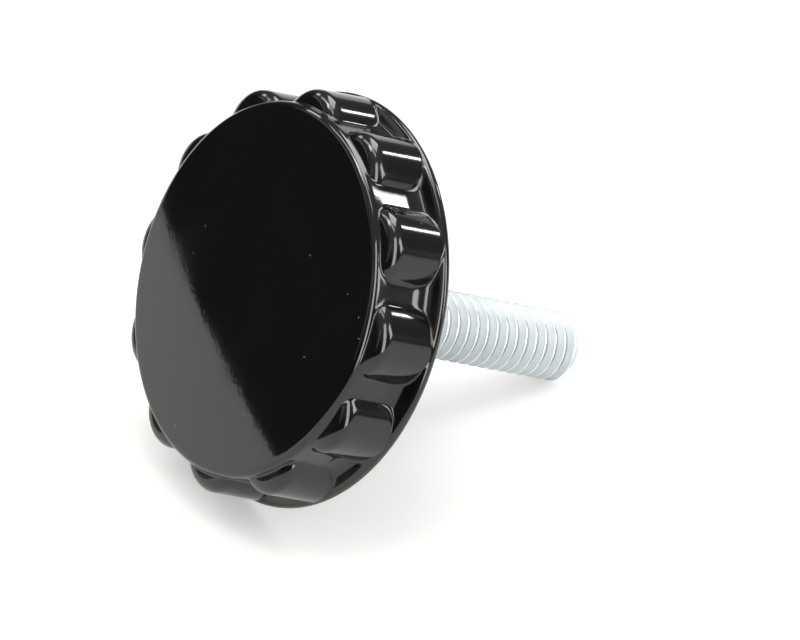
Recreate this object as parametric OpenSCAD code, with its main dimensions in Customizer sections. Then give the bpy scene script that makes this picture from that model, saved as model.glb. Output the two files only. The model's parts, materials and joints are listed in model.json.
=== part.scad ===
// Lobed clamping knob with a moulded-in threaded stud, lying on a table as it comes to rest.
// Millimetres. The knob is drawn upright, face up, with the flange's back at height 0,
// and laid down at the end: its flange and the stud's tip touch the table.

/* [Flange] */
// Outer diameter of the flange
flange_d = 46; // [42:0.5:60]
// Thickness of the flange, whose rim is fully rounded
flange_t = 1.3; // [1:0.1:2.5]
// Radius of the hollow curve between the flange and the wall
flange_fillet = 1.7; // [0.5:0.1:2]

/* [Wall and face] */
// Draft of the wall and the lobes, in degrees
draft = 0.5; // [0:0.1:2]
// Height of the face's edge over the flange's back
edge_h = 8.95; // [8:0.05:16]
// Radius that rounds the face's edge
edge_r = 0.75; // [0.2:0.05:1.2]
// Rise of the domed face from its edge to its middle
dome_rise = 0.7; // [0.3:0.1:2]

/* [Lobes] */
// Number of lobes
lobe_count = 12; // [8:1:14]
// Distance of the lobes' crests inside the flange's rim
crest_inset = 0.05; // [0.05:0.05:1]
// Depth of the valleys between the lobes, from crest to wall
valley_depth = 2.15; // [1.5:0.05:3]
// Radius of a lobe's rounded outside
lobe_r = 4.45; // [3:0.05:4.6]
// Radius that rounds a lobe's front shoulder
shoulder_r = 1.1; // [0.3:0.1:2.4]
// Step from the face's edge down to the lobes' front
lobe_step = 0.85; // [0.75:0.05:2]
// Turn of the lobes about the knob's axis, in degrees
lobe_turn = 14.3; // [0:0.1:30]

/* [Back] */
// Diameter of the seat round the stud
hub_d = 17; // [14:0.5:24]
// Height that the seat stands proud of the flange's back
hub_h = 0.9; // [0.3:0.1:3]
// Width of the flat land along the flange's edge
land_w = 3.2; // [2:0.1:5]
// Depth of the shallow dish between the land and the seat
dish_depth = 1; // [0.4:0.1:1.2]

/* [Stud] */
// Outside diameter of the thread
stud_d = 7.85; // [6:0.05:8]
// Length of the thread that stands out of the seat
stud_l = 34.9; // [20:0.1:60]
// Chamfer of the stud's tip
tip_chamfer = 1.1; // [0.3:0.1:1.4]
// Diameter of the plain neck in the moulding
neck_d = 7; // [4:0.1:7.5]
// Length of the neck, from the seat to the anchor head
neck_l = 2.6; // [2:0.1:4]
// Width across the flats of the anchor head in the moulding
anchor_af = 12.7; // [11:0.1:13]
// Thickness of the anchor head
anchor_t = 4.2; // [3:0.1:4.5]
// Gap that the moulding leaves round the stud
mould_gap = 0.02; // [0:0.01:0.1]

/* [Hidden] */
$fn = 96;

flange_r = flange_d / 2;
rim_r = flange_t / 2;
// the wall leans in by the draft, from the flange to the face
crest_r = flange_r - crest_inset;
wall_r = crest_r - valley_depth;
fillet_r = min(flange_fillet, flange_r - rim_r - wall_r);
edge_wall_r = wall_r - (edge_h - flange_t) * tan(draft);
// the dome's circle passes over the edge's middle and rises to the face's middle
edge_x = edge_wall_r - edge_r;
dome_r = (edge_x * edge_x + dome_rise * dome_rise) / (2 * dome_rise);
dome_z = edge_h + dome_rise - dome_r;
edge_z = dome_z + sqrt(pow(dome_r - edge_r, 2) - edge_x * edge_x);
// a lobe is a boss on its own axis, from the flange to its front
lobe_x = crest_r - lobe_r;
lobe_h = edge_h - lobe_step;
lobe_front_r = lobe_r - (lobe_h - shoulder_r - flange_t) * tan(draft);
// back of the knob
hub_r = hub_d / 2;
dish_r = flange_r - land_w;
dish_slope = dish_depth;
// the stud, from its anchor head in the moulding to its tip
stud_r = stud_d / 2;
seat_z = -hub_h;
tip_z = seat_z - stud_l;
neck_r = neck_d / 2;
neck_z = seat_z + neck_l;
anchor_r = anchor_af / 2 / cos(30);
overlap = 0.5;

// the table touches the rounded rim and the edge of the stud's chamfer
touch_x = flange_r - rim_r - stud_r;
touch_z = rim_r - (tip_z + tip_chamfer);
touch_l = norm([touch_x, touch_z]);
lean = atan2(touch_x, touch_z) + asin(rim_r / touch_l);
lift = stud_r * cos(lean) - (tip_z + tip_chamfer) * sin(lean);
// the box's ends along the table: the stud's tip and the face's lower edge
right_end = -tip_z * cos(lean) + (stud_r - tip_chamfer) * sin(lean);
left_end = -(edge_z * cos(lean) + edge_x * sin(lean) + edge_r);

// Lays the upright knob on the table, with its face to the left and its stud to the right.
module lay_down() {
    translate([-(left_end + right_end) / 2, 0, lift])
        rotate([0, lean - 90, 0])
            children();
}

// Half section of the flange with its round rim and the hollow curve up to the wall.
module flange_section() {
    square([flange_r - rim_r, flange_t]);
    translate([flange_r - rim_r, rim_r])
        circle(rim_r);
    difference() {
        square([wall_r + fillet_r, flange_t + fillet_r]);
        translate([wall_r + fillet_r, flange_t + fillet_r])
            circle(fillet_r);
    }
}

// Half section of the wall, the rounded edge and the domed face.
module face_section() {
    polygon([
        [0, 0], [wall_r, 0], [wall_r, flange_t], [edge_wall_r, edge_z], [0, edge_z]
    ]);
    translate([edge_x, edge_z])
        circle(edge_r);
    intersection() {
        translate([0, dome_z])
            circle(dome_r, $fn = 720);
        square([edge_x, edge_h + dome_rise + overlap]);
    }
}

// One grip lobe: a boss with a rounded front shoulder, along the knob's axis.
module lobe() {
    translate([lobe_x, 0, 0])
        rotate_extrude()
            union() {
                polygon([
                    [0, rim_r], [lobe_r, rim_r], [lobe_r, flange_t],
                    [lobe_front_r, lobe_h - shoulder_r], [0, lobe_h - shoulder_r]
                ]);
                square([lobe_front_r - shoulder_r, lobe_h]);
                translate([lobe_front_r - shoulder_r, lobe_h - shoulder_r])
                    intersection() {
                        circle(shoulder_r);
                        square(shoulder_r);
                    }
            }
}

// The shallow dish between the flange's land and the seat, with sloping sides.
module dish() {
    rotate_extrude()
        polygon([
            [hub_r, -overlap], [dish_r + overlap, -overlap], [dish_r, 0],
            [dish_r - dish_slope, dish_depth], [hub_r + dish_slope, dish_depth], [hub_r, 0]
        ]);
}

// The stud's neck and anchor head, with a gap to spare all round and more neck below the seat.
module anchor(gap = 0, reach = 0) {
    translate([0, 0, seat_z - reach])
        cylinder(r = neck_r + gap, h = neck_l + reach);
    translate([0, 0, neck_z - gap])
        cylinder(r = anchor_r + gap / cos(30), h = anchor_t + 2 * gap, $fn = 6);
}

// Black moulding: flange, wall, domed face, grip lobes and the seat at the back.
module knob_body() {
    color([0.03, 0.03, 0.035])
        lay_down()
            difference() {
                union() {
                    rotate_extrude()
                        union() {
                            flange_section();
                            face_section();
                        }
                    for (i = [0 : lobe_count - 1])
                        rotate([0, 0, lobe_turn + i * 360 / lobe_count])
                            lobe();
                    translate([0, 0, seat_z])
                        cylinder(r = hub_r, h = hub_h + overlap);
                }
                dish();
                anchor(mould_gap, overlap);
            }
}

// Zinc-plated steel stud: thread, chamfered tip and the head that anchors it in the moulding.
module threaded_stud() {
    color([0.78, 0.81, 0.83])
        lay_down()
            union() {
                anchor();
                translate([0, 0, tip_z + tip_chamfer])
                    cylinder(r = stud_r, h = stud_l - tip_chamfer);
                translate([0, 0, tip_z])
                    cylinder(r1 = stud_r - tip_chamfer, r2 = stud_r, h = tip_chamfer);
            }
}

knob_body();
threaded_stud();
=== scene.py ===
"""Lobed clamping knob with a moulded-in threaded stud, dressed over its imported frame.

The knob is modelled upright in millimetres, face up, with the flange's back at height 0, and
laid on the table by the record's stud mount.
"""
import json
import logging
import math
from dataclasses import dataclass
from enum import Enum
from typing import Any

import bmesh
import bpy
import numpy as np
from mathutils import Matrix, Vector


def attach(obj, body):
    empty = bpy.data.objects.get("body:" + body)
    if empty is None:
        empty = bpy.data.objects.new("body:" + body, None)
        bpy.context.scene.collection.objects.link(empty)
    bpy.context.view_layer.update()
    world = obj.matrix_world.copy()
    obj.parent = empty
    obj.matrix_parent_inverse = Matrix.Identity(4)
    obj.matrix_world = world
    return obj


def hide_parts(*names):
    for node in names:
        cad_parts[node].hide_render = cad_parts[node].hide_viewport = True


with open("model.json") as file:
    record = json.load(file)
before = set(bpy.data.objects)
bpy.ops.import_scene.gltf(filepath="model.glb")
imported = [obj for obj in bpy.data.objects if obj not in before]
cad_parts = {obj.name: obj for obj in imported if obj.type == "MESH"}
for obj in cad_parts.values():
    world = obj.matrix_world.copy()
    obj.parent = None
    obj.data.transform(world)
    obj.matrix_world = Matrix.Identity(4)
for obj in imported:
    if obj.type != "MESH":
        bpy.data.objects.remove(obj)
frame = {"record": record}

log = logging.getLogger("knob")
MM = 0.001
# millimetres that the seat round the stud stands proud of the flange's back
SEAT_H = 0.9
# millimetres within which vertices are merged, and edges are no longer than a point
MERGE, SPECK = 1e-3, 1e-5
# most of an edge that the curve of one of its corners takes up
CORNER_SHARE = 0.45
# the Mix node's colour sockets, which share their names with its other sockets
MIX_LOW, MIX_HIGH, MIX_RESULT = 6, 7, 2
AXIS = Vector((0.0, 0.0, 1.0))
CENTRE = Vector((0.0, 0.0, 0.0))
Point = tuple[float, float]
Place = tuple[float, float, float]
Colour = tuple[float, float, float]


class Slot(Enum):
    """The record's material slots."""

    MOULDING = "black_moulding"
    ZINC = "zinc_plate"


class Role(Enum):
    """What a lamp does: it lights matt surfaces or shows in gloss."""

    MATT = "matt"
    GLOSS = "gloss"


class Value:
    """One number of a shader graph; arithmetic on it adds Math nodes."""

    def __init__(self, graph: "Graph", socket: bpy.types.NodeSocket) -> None:
        """Wraps an output socket of the graph."""
        self.graph, self.socket = graph, socket

    def _math(self, operation: str, other: "Value | float") -> "Value":
        """Adds a Math node.

        Args:
            operation: The node's operation.
            other: Its second number; this value is the first.

        Returns:
            The node's result.
        """
        node = self.graph.node("ShaderNodeMath", {"operation": operation}, {0: self, 1: other})
        return Value(self.graph, node.outputs[0])

    def __add__(self, other: "Value | float") -> "Value":
        """Sum of two values."""
        return self._math("ADD", other)

    def __sub__(self, other: "Value | float") -> "Value":
        """Difference of two values."""
        return self._math("SUBTRACT", other)

    def __mul__(self, other: "Value | float") -> "Value":
        """Product of two values."""
        return self._math("MULTIPLY", other)

    def __lt__(self, other: "Value | float") -> "Value":
        """1 where this value is less than the other, else 0."""
        return self._math("LESS_THAN", other)

    def __gt__(self, other: "Value | float") -> "Value":
        """1 where this value is more than the other, else 0."""
        return self._math("GREATER_THAN", other)

    def larger(self, other: "Value | float") -> "Value":
        """The larger of two values."""
        return self._math("MAXIMUM", other)


class Graph:
    """The node tree of one material or of the world."""

    def __init__(self, owner: bpy.types.ID) -> None:
        """Empties the owner's node tree.

        Args:
            owner: The material or world that owns the tree.
        """
        owner.use_nodes = True
        self.tree = owner.node_tree
        self.tree.nodes.clear()

    def node(self, kind: str, settings: dict[str, Any], inputs: dict[Any, Any]) -> bpy.types.Node:
        """Adds one node.

        Args:
            kind: The node's type.
            settings: Its settings, which are set first.
            inputs: Numbers, colours, values or sockets by the input's name or number.

        Returns:
            The node.
        """
        made = self.tree.nodes.new(kind)
        for name, setting in settings.items():
            setattr(made, name, setting)
        for name, item in inputs.items():
            source = item.socket if isinstance(item, Value) else item
            if isinstance(source, bpy.types.NodeSocket):
                self.tree.links.new(source, made.inputs[name])
            else:
                made.inputs[name].default_value = source
        return made

    def value(
        self, kind: str, settings: dict[str, Any], inputs: dict[Any, Any], output: str,
    ) -> Value:
        """Adds one node and wraps one of its outputs.

        Args:
            kind: The node's type.
            settings: Its settings.
            inputs: Its inputs.
            output: The output's name.

        Returns:
            The output as a value.
        """
        return Value(self, self.node(kind, settings, inputs).outputs[output])

    def place(self) -> bpy.types.NodeSocket:
        """Point of the surface, in metres."""
        return self.node("ShaderNodeTexCoord", {}, {}).outputs["Object"]

    def layer(self, name: str) -> Value:
        """Number that the mesh carries at its vertices."""
        return self.value("ShaderNodeAttribute", {"attribute_name": name}, {}, "Fac")

    def noise(self, scale: float, detail: float = 2.0, rough: float = 0.5) -> Value:
        """Adds smooth noise.

        Args:
            scale: Cells of noise in a metre.
            detail: Octaves on top of the first.
            rough: Strength of each octave against the one before it.

        Returns:
            The noise, about 0.5 on average.
        """
        inputs = {"Vector": self.place(), "Scale": scale, "Detail": detail, "Roughness": rough}
        return self.value("ShaderNodeTexNoise", {}, inputs, "Fac")

    def span(self, value: Value, low: float, high: float) -> Value:
        """Maps a range of a value smoothly onto 0 to 1, held at its ends.

        Args:
            value: The value.
            low: Where the range starts.
            high: Where it ends.

        Returns:
            The mapped value.
        """
        settings = {"interpolation_type": "SMOOTHSTEP"}
        inputs = {"Value": value, "From Min": low, "From Max": high}
        return self.value("ShaderNodeMapRange", settings, inputs, "Result")

    def blend(self, factor: Value, low: Any, high: Any) -> bpy.types.NodeSocket:
        """Mixes two colours.

        Args:
            factor: Share of the second colour.
            low: First colour or colour socket.
            high: Second colour or colour socket.

        Returns:
            The mixed colour.
        """
        ends = [(*c, 1.0) if isinstance(c, tuple) else c for c in (low, high)]
        inputs = {"Factor": factor, MIX_LOW: ends[0], MIX_HIGH: ends[1]}
        return self.node("ShaderNodeMix", {"data_type": "RGBA"}, inputs).outputs[MIX_RESULT]

    def bump(self, height: Value, depth: float, strength: float) -> bpy.types.NodeSocket:
        """Turns a height into a bent normal.

        Args:
            height: The height, from 0 to 1.
            depth: Its depth in metres.
            strength: Share of the bend that is kept.

        Returns:
            The normal.
        """
        inputs = {"Height": height, "Distance": depth, "Strength": strength}
        return self.node("ShaderNodeBump", {}, inputs).outputs["Normal"]

    def seen(self) -> Value:
        """Tells the rays that look at a surface from those that light it.

        Returns:
            1 where the camera, gloss or glass looks at the surface, else 0.
        """
        ray = self.node("ShaderNodeLightPath", {}, {})
        names = ("Is Camera Ray", "Is Glossy Ray", "Is Transmission Ray")
        camera, gloss, glass = (Value(self, ray.outputs[name]) for name in names)
        return camera.larger(gloss).larger(glass)

    def close(self, shader: bpy.types.Node, output: str = "ShaderNodeOutputMaterial") -> None:
        """Links the last shader to the tree's output.

        Args:
            shader: The last shader's node.
            output: The output node's type.
        """
        self.node(output, {}, {"Surface": shader.outputs[0]})


@dataclass(frozen=True)
class BlackMoulding:
    """Glossy black plastic, duller on the grip, with smudges, moulding waves and stray dust."""

    body: Colour = (0.0058, 0.0052, 0.0047)
    haze: Colour = (0.0068, 0.0061, 0.0055)
    gloss: Point = (0.035, 0.065)
    handled: float = 0.07
    index: float = 1.54
    smudge_cells: float = 130.0
    smudge_edge: Point = (0.35, 0.7)
    wave_cells: float = 260.0
    peel_cells: float = 1500.0
    peel_share: float = 0.3
    relief: float = 2e-5
    bend: float = 0.22
    dust: Colour = (0.2, 0.2, 0.19)
    dust_cells: float = 430.0
    dust_size: float = 0.036
    dust_missing: float = 0.3
    dust_rough: float = 0.7

    def material(self) -> bpy.types.Material:
        """Makes the material.

        Returns:
            The material.
        """
        made = bpy.data.materials.new("black_moulding")
        graph = Graph(made)
        smears = graph.noise(self.smudge_cells, detail=3.0, rough=0.6)
        smudge = graph.span(smears, *self.smudge_edge)
        waves = graph.noise(self.wave_cells, detail=1.0)
        peel = graph.noise(self.peel_cells, detail=1.0)
        skin = waves * (1.0 - self.peel_share) + peel * self.peel_share
        speck = self._specks(graph)
        low, high = self.gloss
        dull = smudge * (high - low) + low + graph.layer("grip") * self.handled
        black = graph.blend(smudge, self.body, self.haze)
        graph.close(graph.node("ShaderNodeBsdfPrincipled", {}, {
            "Base Color": graph.blend(speck, black, self.dust),
            "Roughness": dull.larger(speck * self.dust_rough),
            "Normal": graph.bump(skin, self.relief, self.bend),
            "IOR": self.index,
        }))
        return made

    def _specks(self, graph: Graph) -> Value:
        """Scatters small specks of dust over the surface.

        Args:
            graph: The material's graph.

        Returns:
            1 on a speck, else 0.
        """
        inputs = {"Vector": graph.place(), "Scale": self.dust_cells}
        cell = graph.node("ShaderNodeTexVoronoi", {}, inputs)
        near = Value(graph, cell.outputs["Distance"]) < self.dust_size
        parts = graph.node("ShaderNodeSeparateColor", {}, {"Color": cell.outputs["Color"]})
        return near * (Value(graph, parts.outputs["Red"]) > self.dust_missing)


@dataclass(frozen=True)
class ZincPlate:
    """Blue-white zinc plate, a little cloudy, burnished on the crests, with painted shade
    darkening the thread's roots.
    """

    bright: Colour = (0.9, 0.965, 0.985)
    cloudy: Colour = (0.82, 0.885, 0.905)
    # painted shade: the grey that the thread's roots are darkened to, standing in for the shade
    # between the teeth
    root_shade: Colour = (0.4, 0.42, 0.43)
    cloud_cells: float = 420.0
    cloud_edge: Point = (0.35, 0.7)
    crest_edge: Point = (0.94, 0.98)
    # rises over which the painted shade comes in, reaching its full depth at the root
    root_shade_edge: Point = (0.2, 0.02)
    metal: float = 0.05
    worn_metal: float = 0.8
    rough: float = 0.35
    cloud_rough: float = 0.12
    worn_polish: float = 0.2
    grain_cells: float = 5200.0
    relief: float = 2e-5
    bend: float = 0.3

    def material(self) -> bpy.types.Material:
        """Makes the material.

        Returns:
            The material.
        """
        made = bpy.data.materials.new("zinc_plate")
        graph = Graph(made)
        mist = graph.noise(self.cloud_cells, detail=4.0, rough=0.65)
        cloud = graph.span(mist, *self.cloud_edge)
        grain = graph.noise(self.grain_cells)
        rise = graph.layer("rise")
        wear, root = graph.span(rise, *self.crest_edge), graph.span(rise, *self.root_shade_edge)
        plate = graph.blend(cloud, self.bright, self.cloudy)
        graph.close(graph.node("ShaderNodeBsdfPrincipled", {}, {
            # the plate's colour is darkened towards the painted shade deep in the thread's roots
            "Base Color": graph.blend(root, plate, self.root_shade),
            "Metallic": wear * self.worn_metal + self.metal,
            "Roughness": cloud * self.cloud_rough + self.rough - wear * self.worn_polish,
            "Normal": graph.bump(grain, self.relief, self.bend),
        }))
        return made


@dataclass(frozen=True)
class PaleTable:
    """Matt white table top that shows a little paler than the light makes it."""

    top: Colour = (0.95, 0.94, 0.92)
    mottle: float = 0.99
    mottle_cells: float = 3.0
    lift: float = 0.36

    def material(self) -> bpy.types.Material:
        """Makes the material.

        Returns:
            The material.
        """
        made = bpy.data.materials.new("pale_table")
        graph = Graph(made)
        darker = tuple(self.mottle * c for c in self.top)
        tone = graph.blend(graph.noise(self.mottle_cells), self.top, darker)
        shown = graph.blend(graph.seen(), (0.0, 0.0, 0.0), tone)
        matt = graph.node("ShaderNodeBsdfDiffuse", {}, {"Color": tone})
        glow = graph.node("ShaderNodeEmission", {}, {"Color": shown, "Strength": self.lift})
        both = {0: matt.outputs[0], 1: glow.outputs[0]}
        graph.close(graph.node("ShaderNodeAddShader", {}, both))
        return made


@dataclass(frozen=True)
class DarkRoom:
    """Unlit room that the gloss shows above the table, paler to the knob's right and overhead."""

    far: Colour = (0.02, 0.02, 0.02)
    near: Colour = (0.2, 0.19, 0.18)
    ceiling: Colour = (0.5, 0.475, 0.45)
    reach: float = 60.0
    side_edge: Point = (-0.45, 0.5)
    ceiling_edge: Point = (0.25, 0.9)

    def material(self) -> bpy.types.Material:
        """Makes the material.

        Returns:
            The material.
        """
        made = bpy.data.materials.new("dark_room")
        graph = Graph(made)
        split = graph.node("ShaderNodeSeparateXYZ", {}, {"Vector": graph.place()})
        side, height = (
            graph.span(Value(graph, split.outputs[way]), *(share * self.reach for share in edge))
            for way, edge in (("X", self.side_edge), ("Z", self.ceiling_edge)))
        walls = graph.blend(side, self.far, self.near)
        tone = graph.blend(height, walls, self.ceiling)
        graph.close(graph.node("ShaderNodeEmission", {}, {"Color": tone}))
        return made


@dataclass(frozen=True)
class Rest:
    """How the knob lies on the table: its seat's middle and the way that its stud points."""

    seat: Vector
    stud_way: Vector

    @classmethod
    def from_record(cls, record: dict[str, Any]) -> "Rest":
        """Reads the stud mount.

        Args:
            record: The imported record.

        Returns:
            The knob's rest.
        """
        mount = next(m for m in record["mounts"] if m["name"] == "stud")
        return cls(Vector(mount["pos_m"]), Vector(mount["axis"]).normalized())

    def matrix(self) -> Matrix:
        """Turns upright millimetres into the table's metres.

        Returns:
            The placing matrix.
        """
        face = -self.stud_way
        side = Vector((0.0, 1.0, 0.0))
        turn = Matrix((side.cross(face), side, face)).transposed().to_4x4()
        base = self.seat + face * SEAT_H * MM
        return Matrix.Translation(base) @ turn @ Matrix.Scale(MM, 4)


class Piece:
    """Steps that the knob's two pieces share."""

    name: str
    node: str
    slot: Slot

    def finish(
        self, bm: bmesh.types.BMesh, rest: Rest, skin: bpy.types.Material,
    ) -> bpy.types.Object:
        """Closes an upright mesh, lays it on the table and makes it stand for its node.

        Args:
            bm: The upright mesh, in millimetres; it is freed.
            rest: How the knob lies.
            skin: The piece's material.

        Returns:
            The finished piece.
        """
        bmesh.ops.remove_doubles(bm, verts=bm.verts, dist=MERGE)
        bmesh.ops.dissolve_degenerate(bm, edges=bm.edges, dist=SPECK)
        bmesh.ops.recalc_face_normals(bm, faces=bm.faces)
        bmesh.ops.transform(bm, matrix=rest.matrix(), verts=bm.verts)
        mesh = bpy.data.meshes.new(self.name)
        for face in bm.faces:
            face.smooth = True
        bm.to_mesh(mesh)
        bm.free()
        mesh.materials.append(skin)
        piece = bpy.data.objects.new(self.name, mesh)
        bpy.context.scene.collection.objects.link(piece)
        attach(piece, "root")
        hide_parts(self.node)
        return piece


def whole(bm: bmesh.types.BMesh) -> list[Any]:
    """All vertices, edges and faces of a mesh."""
    return [*bm.verts, *bm.edges, *bm.faces]


def outline(bm: bmesh.types.BMesh, points: list[Point], angle: float = 0.0) -> list[Any]:
    """Draws a half section as a chain of edges.

    Args:
        bm: The mesh that gets it.
        points: Radius and height of its points, in order.
        angle: Angle of the section's plane about the axis.

    Returns:
        The chain's vertices and edges.
    """
    c, s = math.cos(angle), math.sin(angle)
    verts = [bm.verts.new((r * c, r * s, z)) for r, z in points]
    return [*verts, *(bm.edges.new(pair) for pair in zip(verts, verts[1:]))]


def rounded(points: list[Point], radius: float, steps: int = 4) -> list[Point]:
    """Rounds the corners of a chain of points between its two ends.

    Args:
        points: The chain's points.
        radius: Distance from a corner at which its curve starts.
        steps: Points of a corner's curve, less one.

    Returns:
        The chain with its corners rounded.
    """
    chain = [np.array(p) for p in points]
    made = [points[0]]
    for before, corner, after in zip(chain, chain[1:], chain[2:]):
        start, end = (
            corner + edge * min(CORNER_SHARE, radius / np.linalg.norm(edge))
            for edge in (before - corner, after - corner))
        for t in np.linspace(0.0, 1.0, steps + 1):
            curve = (1 - t) ** 2 * start + 2 * t * (1 - t) * corner + t * t * end
            made.append((float(curve[0]), float(curve[1])))
    return [*made, points[-1]]


@dataclass
class GripBody(Piece):
    """The black moulding: flange, wall, domed face, grip lobes and the seat at the back."""

    name: str = "moulded_grip"
    node: str = "knob_body"
    slot: Slot = Slot.MOULDING
    # the flange, just inside the solid's facets, and its oval hollow up to the wall
    flange_r: float = 22.996
    rim_r: float = 0.65
    flange_slope: float = 0.25
    fillet: Point = (0.8, 1.8)
    # the wall, the rounded edge and the domed face
    wall_r: float = 20.8
    draft: float = math.radians(0.5)
    edge_h: float = 8.95
    edge_r: float = 0.75
    dome_rise: float = 0.7
    # the lobes, and the hollow along their flanks, which fades out towards the crest
    lobes: int = 12
    lobe_turn: float = math.radians(14.3)
    crest_r: float = 22.9
    lobe_r: float = 4.75
    lobe_h: float = 8.1
    shoulder: Point = (1.3, 1.4)
    flank_r: float = 0.2
    fade: Point = (0.4, 1.0)
    # start below the lobes' fronts, and height, of the change from round wall to flat floor
    floor: Point = (0.2, 0.8)
    # end above the lobes' fronts, and height, of the change from handled grip to bright edge
    handled: Point = (0.3, 0.2)
    # the back, with the pocket that holds the stud's neck and head
    hub_r: float = 8.5
    dish_r: float = 19.8
    dish_depth: float = 1.0
    hole_r: float = 3.52
    head_r: float = 7.36
    head_z: Point = (1.68, 5.92)
    back_round: float = 0.25
    # the ring inside the moulding from which rays reach the skin, and their degrees and count
    core: Point = (19.5, 0.9)
    core_r: float = 0.3
    core_spare: float = 1.5
    ray_bands: tuple[tuple[float, float, int], ...] = (
        (-16.0, 8.0, 12), (8.0, 56.0, 18), (56.0, 80.0, 44), (80.0, 87.0, 17))
    ray_length: float = 11.0
    ray_halvings: int = 40
    # rings of the face, packed towards its edge
    face_rings: int = 12
    face_pack: float = 0.8
    face_inset: float = 0.25
    # columns of half a sector, and where packing moves some of them, in degrees
    half_steps: int = 26
    even_columns: tuple[float, ...] = (0.0, 8.0, 15.0, 23.0, 26.0)
    packed_columns: tuple[float, ...] = (0.0, 6.0, 9.6, 12.0, 15.0)

    def build(self, rest: Rest, skin: bpy.types.Material) -> bpy.types.Object:
        """Spins one lobe's sector, blows its skin out and repeats it round the axis.

        Args:
            rest: How the knob lies.
            skin: The black moulding.

        Returns:
            The finished piece.
        """
        bm = bmesh.new()
        sector = 2 * math.pi / self.lobes
        turn = Matrix.Rotation(self.lobe_turn, 3, "Z")
        section = outline(bm, [*self._back(), *self._skin_rays(), *self._face()], -sector / 2)
        bmesh.ops.spin(bm, geom=section, cent=CENTRE, axis=AXIS, angle=sector,
                       steps=2 * self.half_steps)
        self._blow_out(bm)
        bmesh.ops.rotate(bm, cent=CENTRE, matrix=turn, verts=bm.verts)
        bmesh.ops.spin(bm, geom=whole(bm), cent=CENTRE, axis=AXIS, angle=2 * math.pi - sector,
                       steps=self.lobes - 1, use_duplicate=True)
        return self.finish(bm, rest, skin)

    def _back(self) -> list[Point]:
        """Draws the stud's pocket, the seat, the dish and the flange's land.

        Returns:
            The half section's points.
        """
        low, high = self.head_z
        pocket = [(0.0, high), (self.head_r, high), (self.head_r, low), (self.hole_r, low)]
        seat = [(self.hole_r, -SEAT_H), (self.hub_r, -SEAT_H), (self.hub_r, 0.0)]
        dish = [
            (self.hub_r + self.dish_depth, self.dish_depth),
            (self.dish_r - self.dish_depth, self.dish_depth),
            (self.dish_r, 0.0),
        ]
        land = (self.flange_r - self.rim_r, 0.0)
        return rounded([*pocket, *seat, *dish, land], self.back_round)

    def _skin_rays(self) -> list[Point]:
        """Draws a small arc round the core ring: each point starts a ray that ends on the skin.

        Returns:
            The arc's points.
        """
        bands = [np.linspace(*band, endpoint=False) for band in self.ray_bands]
        ring, height = self.core
        return [
            (ring + self.core_r * math.cos(a), height + self.core_r * math.sin(a))
            for a in np.radians(np.concatenate(bands))]

    def _face(self) -> list[Point]:
        """Draws the domed face, from its edge to its middle.

        Returns:
            The half section's points.
        """
        radius, centre = self._dome()
        edge = self._edge_x() - self.face_inset
        radii = np.linspace(1.0, 0.0, self.face_rings) ** self.face_pack * edge
        heights = centre + np.sqrt(radius ** 2 - np.square(radii))
        return list(zip(radii.tolist(), heights.tolist()))

    def _lean(self, z: Any) -> Any:
        """How far the draft draws the wall and the lobes in at a height."""
        return (z - 2 * self.rim_r) * math.tan(self.draft)

    def _edge_x(self) -> float:
        """Radius at which the face's rounded edge starts."""
        return self.wall_r - self._lean(self.edge_h) - self.edge_r

    def _dome(self) -> Point:
        """Radius of the face's dome and the height of its centre."""
        radius = (self._edge_x() ** 2 + self.dome_rise ** 2) / (2 * self.dome_rise)
        return radius, self.edge_h + self.dome_rise - radius

    def _blow_out(self, bm: bmesh.types.BMesh) -> None:
        """Moves the small arc's vertices along their rays onto the skin and marks the grip.

        Args:
            bm: One lobe's sector, spun about the axis and centred on the lobe.
        """
        grip = bm.verts.layers.float.new("grip")
        place = np.array([v.co for v in bm.verts])
        turn = self._pack(np.arctan2(place[:, 1], place[:, 0]))
        reach, height = np.hypot(place[:, 0], place[:, 1]), place[:, 2].copy()
        across, up = reach - self.core[0], height - self.core[1]
        step = np.hypot(across, up)
        on_ray = step < self.core_spare * self.core_r
        way = np.stack([across[on_ray], up[on_ray]]) / step[on_ray]
        reach[on_ray], height[on_ray] = self._cast(way, turn[on_ray])
        end, over = self.handled
        share = on_ray * np.clip((self.lobe_h + end - height) / over, 0.0, 1.0)
        for vert, r, a, z, held in zip(bm.verts, reach, turn, height, share):
            vert.co = (r * math.cos(a), r * math.sin(a), z)
            vert[grip] = held

    def _pack(self, turn: np.ndarray) -> np.ndarray:
        """Packs the columns where the lobe's flanks meet the wall.

        Args:
            turn: Even angles from the lobe's middle.

        Returns:
            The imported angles.
        """
        even, packed = (
            np.array(columns) / columns[-1] * math.pi / self.lobes
            for columns in (self.even_columns, self.packed_columns))
        return np.sign(turn) * np.interp(np.abs(turn), even, packed)

    def _cast(self, way: np.ndarray, turn: np.ndarray) -> tuple[np.ndarray, np.ndarray]:
        """Follows rays from the core ring to the skin, by halving.

        Args:
            way: The rays' ways, outward and up.
            turn: Their angles from the lobe's middle.

        Returns:
            Radii and heights of the rays' ends.
        """
        near, far = np.zeros(turn.size), np.full(turn.size, self.ray_length)
        for _ in range(self.ray_halvings):
            middle = (near + far) / 2
            r, z = self.core[0] + way[0] * middle, self.core[1] + way[1] * middle
            inside = self._skin(r, turn, z) < 0
            near, far = np.where(inside, middle, near), np.where(inside, far, middle)
        return self.core[0] + way[0] * near, self.core[1] + way[1] * near

    def _skin(self, r: np.ndarray, angle: np.ndarray, z: np.ndarray) -> np.ndarray:
        """Distance from the moulding's outside, less than 0 in the moulding.

        Args:
            r: Distances from the axis.
            angle: Angles from the lobe's middle.
            z: Heights over the flange's back.

        Returns:
            The distances.
        """
        up, out = self.fillet
        body = self._hollow(self._core(r, angle, z) / up, self._flange(r, z) / out, 1.0) * up
        start, over = self.fade
        fade = np.clip((self.crest_r - start - r) / over, 0.0, 1.0)
        return self._hollow(body, self._lobe(r, angle, z), self.flank_r * fade)

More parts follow.
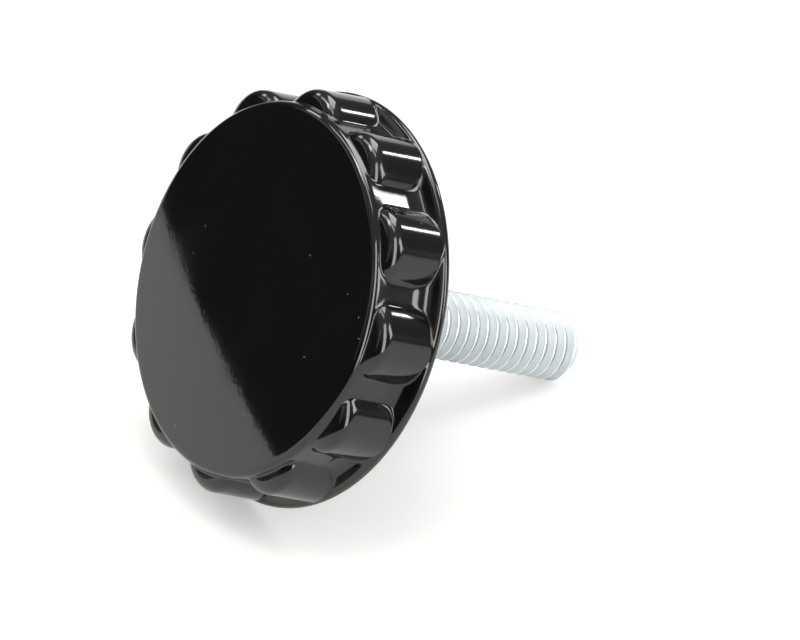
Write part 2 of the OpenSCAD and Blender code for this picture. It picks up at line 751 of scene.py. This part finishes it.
    def _core(self, r: np.ndarray, angle: np.ndarray, z: np.ndarray) -> np.ndarray:
        """Distance from the wall and the domed face, with flat floors in the valleys.

        Args:
            r: Distances from the axis.
            angle: Angles from the lobe's middle.
            z: Heights over the flange's back.

        Returns:
            The distances.
        """
        start, over = self.floor
        flat = np.clip((self.lobe_h - start - z) / over, 0.0, 1.0)
        flat = flat * (1.0 - np.cos(math.pi / self.lobes - np.abs(angle)))
        wall = r * (1.0 - flat) - (self.wall_r - self._lean(z))
        dome_r, dome_z = self._dome()
        face = np.hypot(r, z - dome_z) - dome_r
        return self._corner(wall, face, (self.edge_r, self.edge_r))

    def _flange(self, r: np.ndarray, z: np.ndarray) -> np.ndarray:
        """Distance from the flange, with its round rim and its sloping front.

        Args:
            r: Distances from the axis.
            z: Heights over the flange's back.

        Returns:
            The distances.
        """
        rim, up = r - (self.flange_r - self.rim_r), z - self.rim_r
        front = np.maximum(up + self.flange_slope * np.minimum(rim, 0.0), 0.0)
        return np.hypot(np.maximum(rim, 0.0), front + np.minimum(up, 0.0)) - self.rim_r

    def _lobe(self, r: np.ndarray, angle: np.ndarray, z: np.ndarray) -> np.ndarray:
        """Distance from the lobe, a boss on its own axis that starts inside the rim.

        Args:
            r: Distances from the knob's axis.
            angle: Angles from the lobe's middle.
            z: Heights over the flange's back.

        Returns:
            The distances.
        """
        own = np.hypot(r * np.cos(angle) - (self.crest_r - self.lobe_r), r * np.sin(angle))
        lobe = self._corner(own - (self.lobe_r - self._lean(z)), z - self.lobe_h, self.shoulder)
        return np.maximum(lobe, self.rim_r - z)

    @staticmethod
    def _corner(a: np.ndarray, b: np.ndarray, curve: Point) -> np.ndarray:
        """What lies inside both of two shapes, with an oval curve along the edge they make.

        Args:
            a: Distances from the first shape.
            b: Distances from the second shape.
            curve: How far the curve reaches into each shape.

        Returns:
            The distances from what both share.
        """
        a, b = a / curve[0] + 1.0, b / curve[1] + 1.0
        bent = np.hypot(np.maximum(a, 0.0), np.maximum(b, 0.0))
        return (np.minimum(np.maximum(a, b), 0.0) + bent - 1.0) * min(curve)

    @staticmethod
    def _hollow(a: np.ndarray, b: np.ndarray, radius: Any) -> np.ndarray:
        """What lies inside either of two shapes, with a hollow curve where they meet."""
        curve = np.hypot(np.maximum(radius - a, 0.0), np.maximum(radius - b, 0.0))
        return np.maximum(radius, np.minimum(a, b)) - curve


@dataclass
class ThreadedStud(Piece):
    """The zinc-plated stud: rolled thread, chamfered tip and the head that anchors it."""

    name: str = "rolled_stud"
    node: str = "threaded_stud"
    slot: Slot = Slot.ZINC
    radius: float = 3.925
    length: float = 34.9
    seat_z: float = -SEAT_H
    chamfer: float = 1.1
    # the thread, which starts some pitches below the tip
    pitch: float = 25.4 / 18
    depth: float = 0.85
    flank: float = math.radians(30.0)
    crest: float = 0.12
    tooth_round: float = 0.12
    tooth_steps: int = 3
    phase: float = 1.29
    turn_steps: int = 60
    spare_turns: int = 2
    # what the rise from root to crest is called off the thread
    plain_rise: float = 0.5
    # the neck and the head in the moulding
    neck_r: float = 3.5
    neck_z: float = 1.7
    neck_spare: float = 0.3
    neck_sides: int = 48
    head_r: float = 7.33
    head_h: float = 4.2
    head_sides: int = 6

    def build(self, rest: Rest, skin: bpy.types.Material) -> bpy.types.Object:
        """Spins the thread, cuts it to length and adds the neck and the anchor head.

        Args:
            rest: How the knob lies.
            skin: The zinc plate.

        Returns:
            The finished piece.
        """
        bm = bmesh.new()
        self._thread(bm)
        self._trim(bm)
        self._anchor(bm)
        self._mark(bm)
        return self.finish(bm, rest, skin)

    def _tip_z(self) -> float:
        """Height of the stud's tip."""
        return self.seat_z - self.length

    def _tooth(self) -> list[Point]:
        """Draws one pitch of the thread, root to root.

        Returns:
            The half section's points.
        """
        root = self.radius - self.depth
        slope = self.depth * math.tan(self.flank)
        rise = (self.pitch - self.crest) / 2
        fall = rise + self.crest
        corners = [
            (root, 0.0), (root, rise - slope), (self.radius, rise),
            (self.radius, fall), (root, fall + slope), (root, self.pitch),
        ]
        return rounded(corners, self.tooth_round, self.tooth_steps)

    def _thread(self, bm: bmesh.types.BMesh) -> None:
        """Spins one turn of the thread and repeats it past both ends of the stud.

        Args:
            bm: The stud's mesh.
        """
        start = self._tip_z() - self.pitch * self.phase
        turns = math.ceil(self.length / self.pitch) + self.spare_turns
        section = outline(bm, [(r, start + z) for r, z in self._tooth()])
        bmesh.ops.spin(bm, geom=section, cent=CENTRE, axis=AXIS, angle=2 * math.pi,
                       dvec=AXIS * (self.pitch / self.turn_steps), steps=self.turn_steps)
        bmesh.ops.spin(bm, geom=whole(bm), cent=CENTRE, axis=AXIS, angle=0.0,
                       dvec=AXIS * self.pitch, steps=turns - 1, use_duplicate=True)
        bmesh.ops.remove_doubles(bm, verts=bm.verts, dist=MERGE)

    def _trim(self, bm: bmesh.types.BMesh) -> None:
        """Cuts the thread to the stud's length, closes its ends and chamfers the tip.

        Args:
            bm: The stud's mesh.
        """
        tip_z = self._tip_z()
        for height, away in ((tip_z, -AXIS), (self.seat_z, AXIS)):
            cut = bmesh.ops.bisect_plane(bm, geom=whole(bm), plane_co=AXIS * height,
                                         plane_no=away, clear_outer=True)
            rim = [e for e in cut["geom_cut"] if isinstance(e, bmesh.types.BMEdge)]
            bmesh.ops.contextual_create(bm, geom=rim)
        for vert in bm.verts:
            most = self.radius - self.chamfer + vert.co.z - tip_z
            reach = vert.co.xy.length
            if reach > most:
                vert.co.xy *= most / reach

    def _anchor(self, bm: bmesh.types.BMesh) -> None:
        """Adds the neck and the six-sided head that the moulding holds.

        Args:
            bm: The stud's mesh.
        """
        spare = self.neck_spare
        for radius, low, high, sides in (
            (self.neck_r, self.seat_z - spare, self.neck_z + spare, self.neck_sides),
            (self.head_r, self.neck_z, self.neck_z + self.head_h, self.head_sides),
        ):
            middle = Matrix.Translation(AXIS * (low + high) / 2)
            bmesh.ops.create_cone(bm, cap_ends=True, segments=sides, radius1=radius,
                                  radius2=radius, depth=high - low, matrix=middle)

    def _mark(self, bm: bmesh.types.BMesh) -> None:
        """Marks each vertex with its rise, from 0 at the thread's root to 1 at its crest.

        Args:
            bm: The stud's mesh.
        """
        rise = bm.verts.layers.float.new("rise")
        start = self._tip_z() + self.chamfer
        for vert in bm.verts:
            share = (vert.co.xy.length - self.radius) / self.depth + 1.0
            vert[rise] = share if start < vert.co.z < self.seat_z else self.plain_rise


@dataclass(frozen=True)
class Lamp:
    """One soft lamp, by the degrees at which it is seen from the knob."""

    name: str
    azimuth: float
    elevation: float
    width: float
    height: float
    radiance: float
    role: Role = Role.GLOSS
    distance: float = 1.5

    def light(self, target: Vector) -> None:
        """Hangs the lamp so that it faces a point.

        Args:
            target: The point.
        """
        a, e = math.radians(self.azimuth), math.radians(self.elevation)
        way = Vector((math.cos(a) * math.cos(e), math.sin(a) * math.cos(e), math.sin(e)))
        data = bpy.data.lights.new(self.name, "AREA")
        data.shape = "RECTANGLE"
        data.size, data.size_y = (
            2 * self.distance * math.tan(math.radians(angle / 2))
            for angle in (self.width, self.height))
        data.energy = math.pi * data.size * data.size_y * self.radiance
        lamp = bpy.data.objects.new(self.name, data)
        lamp.location = target + way * self.distance
        lamp.rotation_mode = "QUATERNION"
        lamp.rotation_quaternion = (-way).to_track_quat("-Z", "Y")
        lamp.visible_camera = False
        lamp.visible_diffuse = self.role is Role.MATT
        lamp.visible_glossy = self.role is Role.GLOSS
        bpy.context.scene.collection.objects.link(lamp)


@dataclass(frozen=True)
class Studio:
    """Pale table in a dark room, with soft lamps and the camera."""

    eye: Place = (-0.44696, -0.78823, 0.63931)
    target: Place = (-0.000396, -0.005942, 0.018454)
    lens: float = 451.5
    sensor: float = 36.0
    clip: Point = (0.05, 100.0)
    ambient: float = 0.66
    table_end: float = 0.62
    table_half: float = 20.0
    lamps: tuple[Lamp, ...] = (
        Lamp("right_panel", -5.0, 50.0, 40.0, 40.0, 1.3, Role.MATT),
        Lamp("left_panel", 135.0, 60.0, 40.0, 40.0, 1.5, Role.MATT),
        Lamp("top_panel", -112.0, 80.0, 14.0, 14.0, 5.5, Role.MATT),
        Lamp("left_window", -168.0, 32.0, 10.0, 30.0, 0.8),
        Lamp("front_strip", -104.0, 33.0, 22.0, 68.0, 7.0),
        Lamp("right_card", -50.0, 27.0, 16.0, 36.0, 8.0),
        Lamp("high_window", 40.0, 56.0, 26.0, 42.0, 7.0),
        Lamp("top_window", 121.0, 66.0, 14.0, 12.0, 12.0),
        Lamp("ceiling_strip", 105.0, 70.0, 12.0, 56.0, 5.0),
        Lamp("back_slit", 7.2, 22.2, 4.6, 6.0, 34.0),
        Lamp("edge_window", 95.0, 32.0, 16.0, 8.0, 6.0),
        Lamp("low_glow", 52.0, 2.0, 36.0, 11.0, 1.0),
        Lamp("back_glow", 130.0, 25.0, 30.0, 12.0, 0.8),
    )

    def build(self) -> None:
        """Makes the table, the room, the light and the camera."""
        self._table()
        self._room()
        self._world()
        for lamp in self.lamps:
            lamp.light(Vector(self.target))
        self._camera()

    def _stage(
        self, name: str, bm: bmesh.types.BMesh, skin: bpy.types.Material,
    ) -> bpy.types.Object:
        """Makes a stage object from a mesh.

        Args:
            name: The object's name.
            bm: The mesh; it is freed.
            skin: Its material.

        Returns:
            The object.
        """
        mesh = bpy.data.meshes.new(name)
        bm.to_mesh(mesh)
        bm.free()
        mesh.materials.append(skin)
        made = bpy.data.objects.new(name, mesh)
        bpy.context.scene.collection.objects.link(made)
        return made

    def _table(self) -> None:
        """Lays the pale table under the knob."""
        bm = bmesh.new()
        middle = (0.0, self.table_end - self.table_half, 0.0)
        bmesh.ops.create_grid(bm, x_segments=1, y_segments=1, size=self.table_half)
        bmesh.ops.translate(bm, vec=middle, verts=bm.verts)
        self._stage("table", bm, PaleTable().material())

    def _room(self) -> None:
        """Puts the dark room round the table, for the gloss alone."""
        bm = bmesh.new()
        finish = DarkRoom()
        bmesh.ops.create_uvsphere(bm, u_segments=64, v_segments=32, radius=finish.reach)
        room = self._stage("room", bm, finish.material())
        room.visible_camera = room.visible_diffuse = room.visible_shadow = False
        room.visible_transmission = room.visible_volume_scatter = False

    def _world(self) -> None:
        """Lights the knob evenly from all sides and shows white behind the table."""
        world = bpy.data.worlds.new("studio")
        bpy.context.scene.world = world
        graph = Graph(world)
        white = (1.0, 1.0, 1.0, 1.0)
        lit, shown = (
            graph.node("ShaderNodeBackground", {}, {"Color": white, "Strength": strength})
            for strength in (self.ambient, 1.0))
        inputs = {"Fac": graph.seen(), 1: lit.outputs[0], 2: shown.outputs[0]}
        graph.close(graph.node("ShaderNodeMixShader", {}, inputs), "ShaderNodeOutputWorld")

    def _camera(self) -> None:
        """Sets up the long lens."""
        eye, target = Vector(self.eye), Vector(self.target)
        data = bpy.data.cameras.new("camera")
        data.lens, data.sensor_width, data.sensor_fit = self.lens, self.sensor, "HORIZONTAL"
        data.clip_start, data.clip_end = self.clip
        camera = bpy.data.objects.new("camera", data)
        camera.location = eye
        camera.rotation_mode = "QUATERNION"
        camera.rotation_quaternion = (target - eye).to_track_quat("-Z", "Y")
        bpy.context.scene.collection.objects.link(camera)
        bpy.context.scene.camera = camera


def main() -> None:
    """Builds the knob and its studio, in order."""
    logging.basicConfig(level=logging.INFO, format="%(message)s")
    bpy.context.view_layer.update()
    bpy.context.scene.view_settings.view_transform = "Standard"
    rest = Rest.from_record(frame["record"])
    pieces = (
        GripBody().build(rest, BlackMoulding().material()),
        ThreadedStud().build(rest, ZincPlate().material()),
    )
    for piece in pieces:
        log.info("%s: %d faces", piece.name, len(piece.data.polygons))
    Studio().build()


if __name__ == "__main__":
    main()
